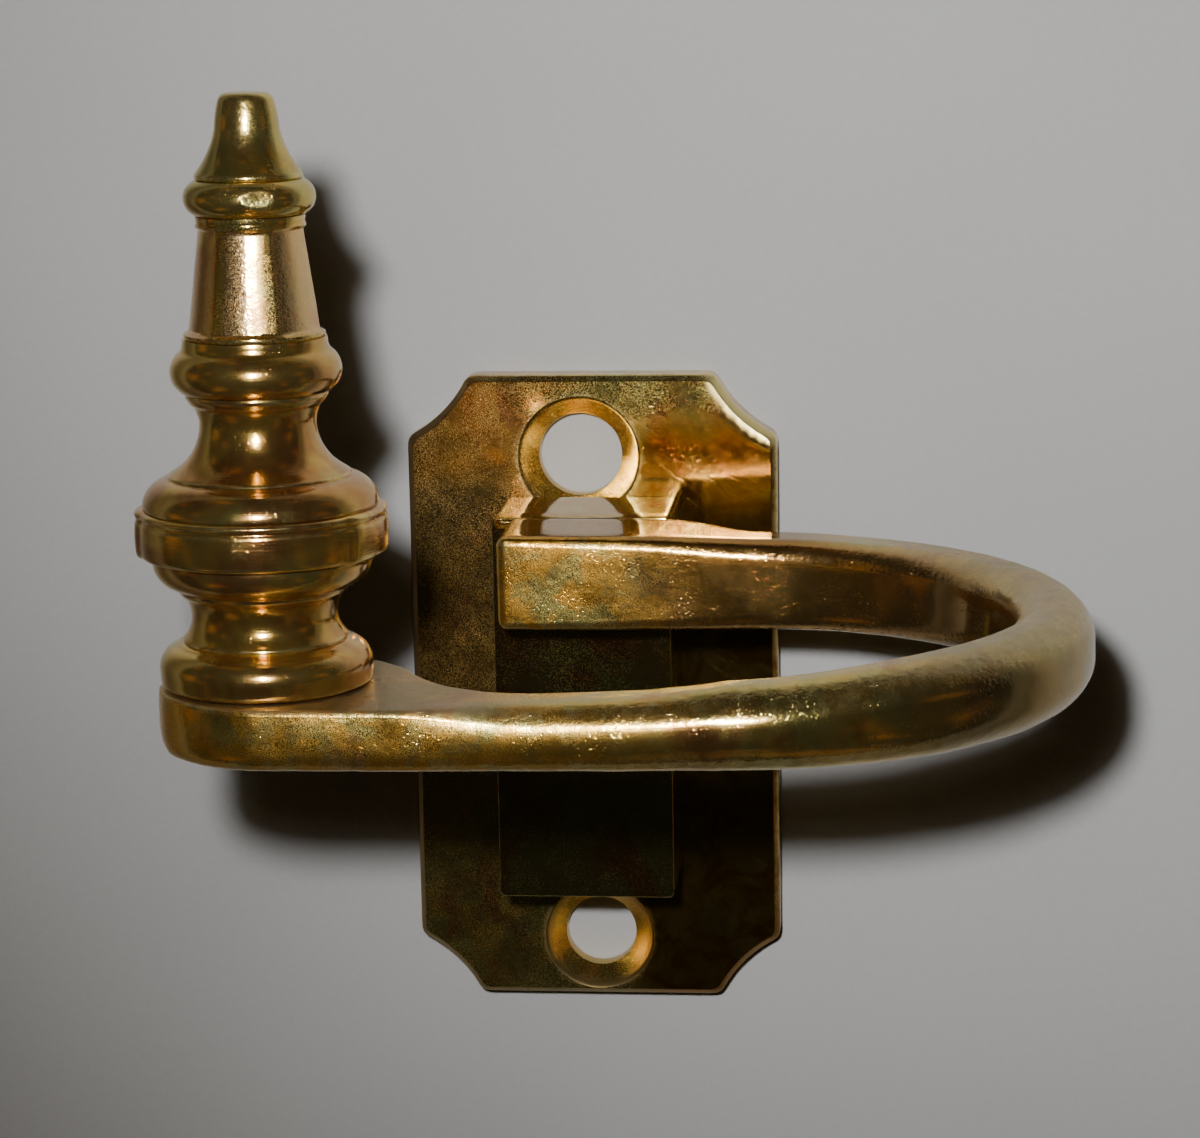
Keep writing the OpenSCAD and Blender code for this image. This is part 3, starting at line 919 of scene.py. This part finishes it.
class Tree:
    """Shader nodes under construction. place is where its textures are looked up."""

    def __init__(self, tree, coords):
        self.tree = tree
        self.place = self.add("ShaderNodeTexCoord").outputs[coords]

    def add(self, kind, inputs=(), **settings):
        """A new node with its settings and inputs."""
        node = self.tree.nodes.new(kind)
        for key, value in settings.items():
            setattr(node, key, value)
        self.put(node, inputs)
        return node

    def put(self, node, inputs):
        """Sets inputs of a node to values, or links outputs to them."""
        for key, value in dict(inputs).items():
            if isinstance(value, bpy.types.NodeSocket):
                self.tree.links.new(value, node.inputs[key])
            else:
                node.inputs[key].default_value = value

    def math(self, operation, a, b):
        return self.add("ShaderNodeMath", {0: a, 1: b}, operation=operation).outputs[0]

    def times(self, a, b):
        return self.math("MULTIPLY", a, b)

    def noise(self, size, detail=3.0, rough=0.55, bend=0.0, place=None):
        """Noise with features of about size, in the units of place."""
        return self.add("ShaderNodeTexNoise", {
            "Vector": place or self.place, "Scale": 1 / size, "Detail": detail,
            "Roughness": rough, "Distortion": bend,
        }).outputs["Fac"]

    def fit(self, value, low, high, to_low=0.0, to_high=1.0):
        """Maps low..high to to_low..to_high, held at both ends."""
        return self.add("ShaderNodeMapRange", {
            "Value": value, "From Min": low, "From Max": high, "To Min": to_low,
            "To Max": to_high,
        }, interpolation_type="SMOOTHSTEP").outputs["Result"]

    def mix(self, share, a, b):
        """Mixes colour a with colour b, of which share is taken."""
        a, b = (c if isinstance(c, bpy.types.NodeSocket) else (*c, 1.0) for c in (a, b))
        inputs = {"Factor": share, 6: a, 7: b}
        return self.add("ShaderNodeMix", inputs, data_type="RGBA").outputs[2]


class Surface(Tree):
    """A material under construction, with its colour, roughness and normal so far."""

    def __init__(self, name):
        self.material = bpy.data.materials.new(name)
        self.material.use_nodes = True
        super().__init__(self.material.node_tree, "Object")
        self.shader = self.tree.nodes["Principled BSDF"]
        to_mm = {0: self.place, "Scale": 1 / MM}
        self.place = self.add("ShaderNodeVectorMath", to_mm, operation="SCALE").outputs[0]
        self.colour = self.rough = self.normal = None

    def stretched(self, turn, lengths):
        """A place whose noise is longer by lengths along three axes turned by degrees."""
        turn = [math.radians(a) for a in turn]
        inputs = {"Vector": self.place, "Rotation": turn, "Scale": lengths}
        return self.add("ShaderNodeMapping", inputs, vector_type="TEXTURE").outputs[0]

    def marked(self, name):
        """The number that mark() stored at each vertex."""
        return self.add("ShaderNodeAttribute", attribute_name=name).outputs["Fac"]

    def by_mark(self, name, at_0, at_1):
        """A number that goes from at_0 to at_1 with a mark."""
        return self.fit(self.marked(name), 0.0, 1.0, at_0, at_1)

    def tint(self, share, colour):
        """Mixes another colour over the one so far."""
        self.colour = self.mix(share, self.colour, colour)

    def dull(self, share, amount):
        """Adds amount of roughness where share is 1."""
        self.rough = self.math("ADD", self.rough, self.times(share, amount))

    def dent(self, height, depth):
        """A bump of depth millimetres where height goes from 0 to 1."""
        inputs = {"Strength": 1.0, "Distance": depth * MM, "Height": height}
        if self.normal is not None:
            inputs["Normal"] = self.normal
        self.normal = self.add("ShaderNodeBump", inputs).outputs["Normal"]

    def finish(self, metallic):
        self.put(self.shader, {
            "Base Color": self.colour, "Roughness": self.rough, "Normal": self.normal,
            "Metallic": metallic,
        })
        return self.material


# Colours of old brass, as linear red, green and blue.
GOLD = (0.79, 0.52, 0.13)
OLIVE = (0.55, 0.46, 0.14)
RED_BROWN = (0.54, 0.27, 0.09)
PALE = (0.96, 0.80, 0.34)
ROSE = (0.94, 0.62, 0.33)
# STAIN_AND_SHADE serves real stains, and also the painted shade on the plate's unlit edges.
STAIN_AND_SHADE = (0.26, 0.19, 0.10)
GREY_BROWN = (0.34, 0.27, 0.20)
SHEEN_ORANGE = (0.90, 0.48, 0.08)
LEAF = (0.66, 0.60, 0.22)
# An orange painted in where the brass mirrors light that comes from other brass.
REFLECTION_ORANGE = (0.30, 0.15, 0.03)


def clouded(n, tones, stain):
    """Two cloudy tones with patches of a third, and small stains."""
    clouds = n.noise(7.0, 3.0, 0.6, 1.2)
    n.colour = n.mix(n.fit(clouds, 0.38, 0.62), tones[0], tones[1])
    warm = n.noise(4.5, 4.0, 0.62, 0.6, place=n.stretched((20, 35, 10), (1.0, 1.5, 1.0)))
    n.tint(n.fit(warm, 0.52, 0.7), tones[2])
    spots = n.noise(1.1, 5.0, 0.7, 0.8)
    n.tint(n.fit(spots, 0.56, 0.78, 0.0, stain), STAIN_AND_SHADE)


def scuffed(n, scuffs, soft, zones, raw):
    """Very fine scuffs: too small to see singly, they spread each highlight."""
    few = 0.66 - 0.4 * scuffs
    share = n.fit(n.noise(0.045, 1.0, 0.5), few, few + 0.09)
    share = n.times(share, n.fit(n.noise(3.0, 3.0, 0.6), 0.35, 0.65, 0.75, 1.1))
    if zones:
        share = n.times(share, n.by_mark("clean", 1.0, 0.12))
        share = n.math("MAXIMUM", share, n.marked("rolled"))
    if raw:
        share = n.times(share, n.by_mark("coarse", 0.55, 1.0))
        share = n.times(share, n.by_mark("root_top", 1.0, 0.1))
    n.dull(share, soft)


def pitted(n, pits, wobble):
    """Slow waves in the polish, and pits in patches."""
    pit = n.fit(n.noise(0.22, 2.0, 0.5), 0.58, 0.72)
    where = n.fit(n.noise(3.2, 3.0, 0.6), 0.45, 0.66)
    n.dent(n.noise(2.6, 2.0, 0.5), wobble)
    n.dent(n.times(pit, where), -0.03 * pits)


def rubbed(n, turn, raw):
    """Soft, nearly parallel rubbing marks in patches, along a direction turned by degrees."""
    place = n.stretched(turn, (5.0, 0.7, 0.7))
    lines = n.fit(n.noise(0.9, 3.0, 0.55, 0.4, place), 0.50, 0.75)
    lines = n.times(lines, n.fit(n.noise(6.0, 2.0), 0.45, 0.65))
    if raw:
        lines = n.times(lines, n.by_mark("coarse", 0.2, 1.0))
    n.dent(lines, -0.003)
    n.dull(lines, 0.09)


def zoned(n, edge):
    """The plate's own zones: redder, painted shade on the edges away from the light,
    a painted orange reflection tone beside the root and a pale rolled edge that is
    both worn and a painted highlight.
    """
    n.tint(n.times(n.marked("warm"), 0.55), RED_BROWN)
    # Painted shade: the plate's edges darken on the side away from the light.
    painted_edge_shade = n.times(edge, n.by_mark("lit_side", 0.8, 0.0))
    n.tint(painted_edge_shade, STAIN_AND_SHADE)
    n.dull(painted_edge_shade, 0.3)
    # Painted reflection: beside the root the plate is darkened to orange, where it mirrors the
    # light off the root's top.
    painted_reflection = n.fit(n.noise(2.8, 4.0, 0.65, 0.8), 0.35, 0.6, 0.95, 0.55)
    n.tint(n.times(n.marked("clean"), painted_reflection), REFLECTION_ORANGE)
    # The rolled scoop edge is tinted pale: wear, and a painted highlight along it.
    n.tint(n.marked("rolled"), PALE)


def filed_flats(n, colour):
    """Hammered and wavy flats of another colour."""
    flat = n.marked("filed")
    n.dent(n.times(n.noise(0.30, 3.0, 0.6, 0.4), flat), 0.03)
    wavy = n.noise(1.5, 2.0, 0.5, 0.5, place=n.stretched((0, 0, 25), (1.0, 2.2, 1.0)))
    n.dent(n.times(wavy, flat), 0.03)
    n.tint(n.times(flat, 0.8), colour)
    n.dull(flat, 0.04)


def raw_bar(n, edge):
    """The arm's own zones: a painted orange reflection tone on the root's top, chipped
    edges, a coarse front with a painted orange sheen and dull grey-brown tops.
    """
    # Painted reflection: the root's top is darkened to orange, dimming the light it mirrors onto
    # the plate.
    n.tint(n.times(n.marked("root_top"), 0.85), REFLECTION_ORANGE)
    n.tint(n.times(n.marked("russet"), 0.7), RED_BROWN)
    n.tint(n.times(n.marked("tarnish"), 0.7), STAIN_AND_SHADE)
    n.dent(n.times(n.noise(0.5, 3.0, 0.6), edge), 0.06)
    patchy = n.fit(n.noise(3.5, 3.0, 0.6), 0.3, 0.7, 0.6, 1.0)
    coarse = n.times(n.marked("coarse"), patchy)
    n.dull(coarse, 0.08)
    brushed = n.noise(0.3, 3.0, 0.6, 0.3, n.stretched((0, 0, 8), (1.0, 3.5, 1.0)))
    n.dent(n.times(brushed, coarse), 0.014)
    n.dent(n.times(n.noise(0.9, 2.0, 0.6, 0.5), coarse), 0.035)
    # Painted sheen: bright orange patches on the outward faces, which turn towards the light.
    bright = n.fit(n.noise(2.2, 3.0, 0.6, 0.5), 0.38, 0.58)
    n.tint(n.times(bright, n.marked("coarse")), SHEEN_ORANGE)
    blotch = n.fit(n.noise(1.6, 4.0, 0.7), 0.3, 0.6, 0.7, 1.0)
    dull = n.times(n.marked("raw"), blotch)
    n.dent(n.times(n.noise(0.28, 3.0, 0.7), dull), 0.02)
    n.tint(n.times(dull, 0.7), GREY_BROWN)
    n.dull(dull, 0.25)


def brass(name, tones, stain, shine, scuffs, pits, wobble, soft=0.25, haze=0.025,
          turn=None, rings=False, filed=None, raw=False, zones=False):
    """Old polished brass: cloudy tones, stains, pits, fine scuffs and bright worn edges.
    On the plate the worn edges keep to its lit side, so there they are also a
    painted highlight.

    shine is the roughness of the polish, scuffs the share of the surface that is
    finely scuffed, soft how much rougher the scuffs are and haze the share of
    light that a thin film of wax and dust scatters. turn is the direction of the
    rubbing marks, rings adds a lathe's grooves, filed is the colour of filed
    flats, and zones and raw are the looks of the plate and of the arm.
    """
    n = Surface(name)
    clouded(n, tones, stain)
    n.rough = n.fit(n.noise(2.4, 5.0, 0.7), 0.3, 0.75, shine * 0.75, shine * 1.4)
    scuffed(n, scuffs, soft, zones, raw)
    pitted(n, pits, wobble)
    if turn:
        rubbed(n, turn, raw)
    if rings:
        n.dent(n.noise(0.11, 3.0, 0.6, place=n.stretched((0, 0, 0), (30.0, 1.0, 30.0))), 0.009)
    edge = n.marked("edge")
    worn = n.times(edge, n.fit(n.noise(0.9, 3.0, 0.6), 0.35, 0.62, 0.1, 0.6))
    if zones:
        zoned(n, edge)
        # On the plate the pale worn edges keep to its lit side: wear and a painted highlight.
        worn = n.times(worn, n.marked("lit_side"))
    n.tint(worn, PALE)
    n.dull(worn, 0.08)
    if filed:
        filed_flats(n, filed)
    if raw:
        raw_bar(n, edge)
    return n.finish(1.0 - haze)


def machined_brass():
    """The fasteners: fresh, slightly dull brass with lathe marks."""
    n = Surface("machined_brass")
    n.colour = n.mix(n.fit(n.noise(3.0, 4.0, 0.6), 0.35, 0.65), GOLD, PALE)
    n.rough = n.fit(n.noise(0.8, 5.0, 0.7), 0.3, 0.7, 0.2, 0.38)
    n.dent(n.noise(0.14, 3.0, 0.6, place=n.stretched((0, 0, 0), (1.0, 5.0, 1.0))), 0.008)
    return n.finish(1.0)


def paper():
    """Pale grey paper with a faint fibre."""
    n = Surface("pale_paper")
    broad = n.noise(90.0, 3.0, 0.5)
    fibre = n.noise(0.7, 4.0, 0.65)
    tone = n.math("ADD", n.times(broad, 0.75), n.times(fibre, 0.25))
    n.colour = n.mix(n.fit(tone, 0.3, 0.7), (0.45, 0.452, 0.456), (0.52, 0.522, 0.526))
    n.rough = n.fit(fibre, 0.3, 0.7, 0.62, 0.8)
    n.dent(fibre, 0.03)
    n.put(n.shader, {"Specular IOR Level": 0.2})
    return n.finish(0.0)


def dress(obj, material):
    """Gives all of an object one material."""
    obj.data.materials.clear()
    obj.data.materials.append(material)
    for polygon in obj.data.polygons:
        polygon.material_index = 0


# ---- pieces ----

PLATE_BRASS = brass(
    "plate_brass", (OLIVE, GOLD, RED_BROWN), stain=0.2, shine=0.08, scuffs=0.3,
    pits=0.2, wobble=0.006, turn=(0, 0, -38), zones=True,
)
BLOCK_BRASS = brass(
    "block_brass", (OLIVE, RED_BROWN, OLIVE), stain=0.4, shine=0.07, scuffs=0.1,
    pits=0.15, wobble=0.004, turn=(0, 0, 78), haze=0.01,
)
ARM_BRASS = brass(
    "arm_brass", (GOLD, OLIVE, RED_BROWN), stain=0.35, shine=0.08, scuffs=0.55,
    soft=0.22, pits=0.6, wobble=0.008, turn=(0, 12, 6), raw=True,
)
TURNED_BRASS = brass(
    "turned_brass", (GOLD, RED_BROWN, OLIVE), stain=0.3, shine=0.1, scuffs=0.5,
    soft=0.09, pits=0.35, wobble=0.006, rings=True, haze=0.04,
)
ROSE_BRASS = brass(
    "rose_brass", (GOLD, OLIVE, RED_BROWN), stain=0.3, shine=0.07, scuffs=0.25,
    pits=0.5, wobble=0.01, filed=ROSE, haze=0.035,
)
TIP_BRASS = brass(
    "tip_brass", (OLIVE, GOLD, RED_BROWN), stain=0.3, shine=0.1, scuffs=0.4,
    soft=0.14, pits=0.6, wobble=0.008, filed=LEAF, haze=0.035,
)
SCREW_BRASS = machined_brass()

HOOK_PIECES = [
    (make_plate, "back_plate", PLATE_BRASS, "plate_brass"),
    (make_block, "standoff_block", BLOCK_BRASS, "block_brass"),
    (make_arm, "arm", ARM_BRASS, "arm_brass"),
]
FINIAL_PIECES = [
    (make_foot, "finial_foot", TURNED_BRASS, "turned_brass"),
    (make_vase, "finial_vase", TURNED_BRASS, "turned_brass"),
    (make_band, "finial_band", TURNED_BRASS, "turned_brass"),
    (make_shoulder, "finial_shoulder", TURNED_BRASS, "turned_brass"),
    (make_bead, "finial_bead", TURNED_BRASS, "turned_brass"),
    (make_steeple, "finial_steeple", ROSE_BRASS, "rose_brass"),
    (make_collar, "finial_collar", TIP_BRASS, "turned_brass"),
    (make_cap, "finial_cap", TIP_BRASS, "turned_brass"),
]

for body, pieces in ((HOOK, HOOK_PIECES), (FINIAL, FINIAL_PIECES)):
    for make, node, material, slot in pieces:
        piece = make()
        dress(piece, material)
        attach(piece, body)
        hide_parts(node)

for node in ("arm_screw", "block_screw", "arm_dowel", "finial_bolt"):
    dress(frame["nodes"][node], SCREW_BRASS)


# ---- camera, floor, lights ----

CAMERA_TURN = math.radians(5.58)
CAMERA_RISE = math.radians(11.16)
CAMERA_ROLL = math.radians(-1.04)
CAMERA_AWAY = 273.03
CAMERA_ASIDE = 0.1
CAMERA_UP = 9.36
LENS = 98.9
SENSOR = 36.0


def camera_axes():
    """Right, up and backward directions of the camera, as the columns of a matrix."""
    back = Vector((
        math.sin(CAMERA_TURN) * math.cos(CAMERA_RISE),
        math.sin(CAMERA_RISE),
        math.cos(CAMERA_TURN) * math.cos(CAMERA_RISE),
    ))
    right = Vector((0, 1, 0)).cross(back).normalized()
    up = back.cross(right)
    c, s = math.cos(CAMERA_ROLL), math.sin(CAMERA_ROLL)
    return Matrix((right * c + up * s, up * c - right * s, back)).transposed()


AXES = camera_axes()
EYE_POINT = AXES @ Vector((CAMERA_ASIDE, CAMERA_UP, CAMERA_AWAY)) * MM


def add_camera():
    """A long lens, a little above the hook and to its right."""
    data = bpy.data.cameras.new("camera")
    data.lens = LENS
    data.sensor_width = SENSOR
    data.clip_start = 0.01
    data.clip_end = 10
    camera = bpy.data.objects.new("camera", data)
    camera.matrix_world = Matrix.Translation(EYE_POINT) @ AXES.to_4x4()
    bpy.context.scene.collection.objects.link(camera)
    bpy.context.scene.camera = camera


def add_floor():
    """A large sheet of paper, a hair behind the plate's back."""
    side, cells, behind = 1600.0, 8, 0.05
    line = np.linspace(-side / 2, side / 2, cells + 1)
    points = [(x, y, -behind) for y in line for x in line]
    row = cells + 1
    faces = [
        (j * row + i, j * row + i + 1, (j + 1) * row + i + 1, (j + 1) * row + i)
        for j in range(cells) for i in range(cells)
    ]
    floor = make_object("floor", points, faces)
    dress(floor, paper())


def add_light(name, kind, place, target, **settings):
    """A light at place that faces target, both in metres, unseen by the camera."""
    data = bpy.data.lights.new(name, kind)
    for key, value in settings.items():
        setattr(data, key, value)
    light = bpy.data.objects.new(name, data)
    light.location = place
    light.rotation_euler = (place - target).to_track_quat("Z", "Y").to_euler()
    light.visible_camera = False
    bpy.context.scene.collection.objects.link(light)


def add_disk(name, place, target, size, radiance, tint=(1.0, 1.0, 1.0)):
    """A round soft light."""
    energy = radiance * math.pi * math.pi * size ** 2 / 4
    add_light(name, "AREA", place, target, shape="DISK", size=size, energy=energy, color=tint)


def add_lights():
    """A small key beside the camera with two wider glows round it, and floor washers.

    The washers face outwards, so that they light the far paper and not the brass.
    """
    key = EYE_POINT + AXES @ Vector((-19, 24, 0)) * MM
    add_light(
        "key", "SPOT", key, Vector((0.045, 0.062, 0)), shadow_soft_size=0.0065,
        energy=2.75, spot_size=math.radians(70), spot_blend=1.0,
    )
    middle = Vector((0, 0, 0.03))
    add_disk("glow", key, middle, 0.026, 45, (1.0, 0.9, 0.72))
    add_disk("halo", key, middle, 0.09, 0.9, (1.0, 0.66, 0.26))
    count, away, height, fall = 8, 0.35, 0.35, 0.9
    for k in range(count):
        turn = 2 * math.pi * k / count
        out = Vector((math.cos(turn), math.sin(turn), 0))
        place = away * out + Vector((0, 0, height))
        add_disk(f"washer_{k}", place, place + out - Vector((0, 0, fall)), 0.3, 1.4)


def add_world():
    """A dim room: dark overhead, softly lit round the sides, with a few warm patches.

    It lights the paper less than it shows in the brass, and the camera sees it grey.
    """
    world = bpy.data.worlds.new("room")
    world.use_nodes = True
    world.node_tree.nodes.clear()
    n = Tree(world.node_tree, "Generated")
    ramp = n.add("ShaderNodeValToRGB", {"Fac": n.noise(1 / 2.6, 3.0, 0.5)})
    stops = ramp.color_ramp.elements
    stops[0].position, stops[0].color = 0.40, (0.010, 0.011, 0.010, 1)
    stops[1].position, stops[1].color = 0.70, (0.22, 0.11, 0.035, 1)
    stops.new(0.56).color = (0.024, 0.021, 0.016, 1)
    overhead = (0.008, 0.009, 0.009)
    upward = n.add("ShaderNodeSeparateXYZ", {"Vector": n.place}).outputs["Z"]
    rays = n.add("ShaderNodeLightPath").outputs
    room = n.add("ShaderNodeBackground", {
        "Color": n.mix(n.fit(upward, 0.92, 0.35), overhead, ramp.outputs["Color"]),
        "Strength": n.fit(rays["Is Diffuse Ray"], 0.0, 1.0, 1.0, 0.2),
    })
    seen = n.add("ShaderNodeBackground", {"Color": (0.16, 0.16, 0.16, 1)})
    choose = n.add("ShaderNodeMixShader", {
        "Fac": rays["Is Camera Ray"], 1: room.outputs[0], 2: seen.outputs[0],
    })
    n.add("ShaderNodeOutputWorld", {"Surface": choose.outputs[0]})
    bpy.context.scene.world = world


add_camera()
add_floor()
add_lights()
add_world()
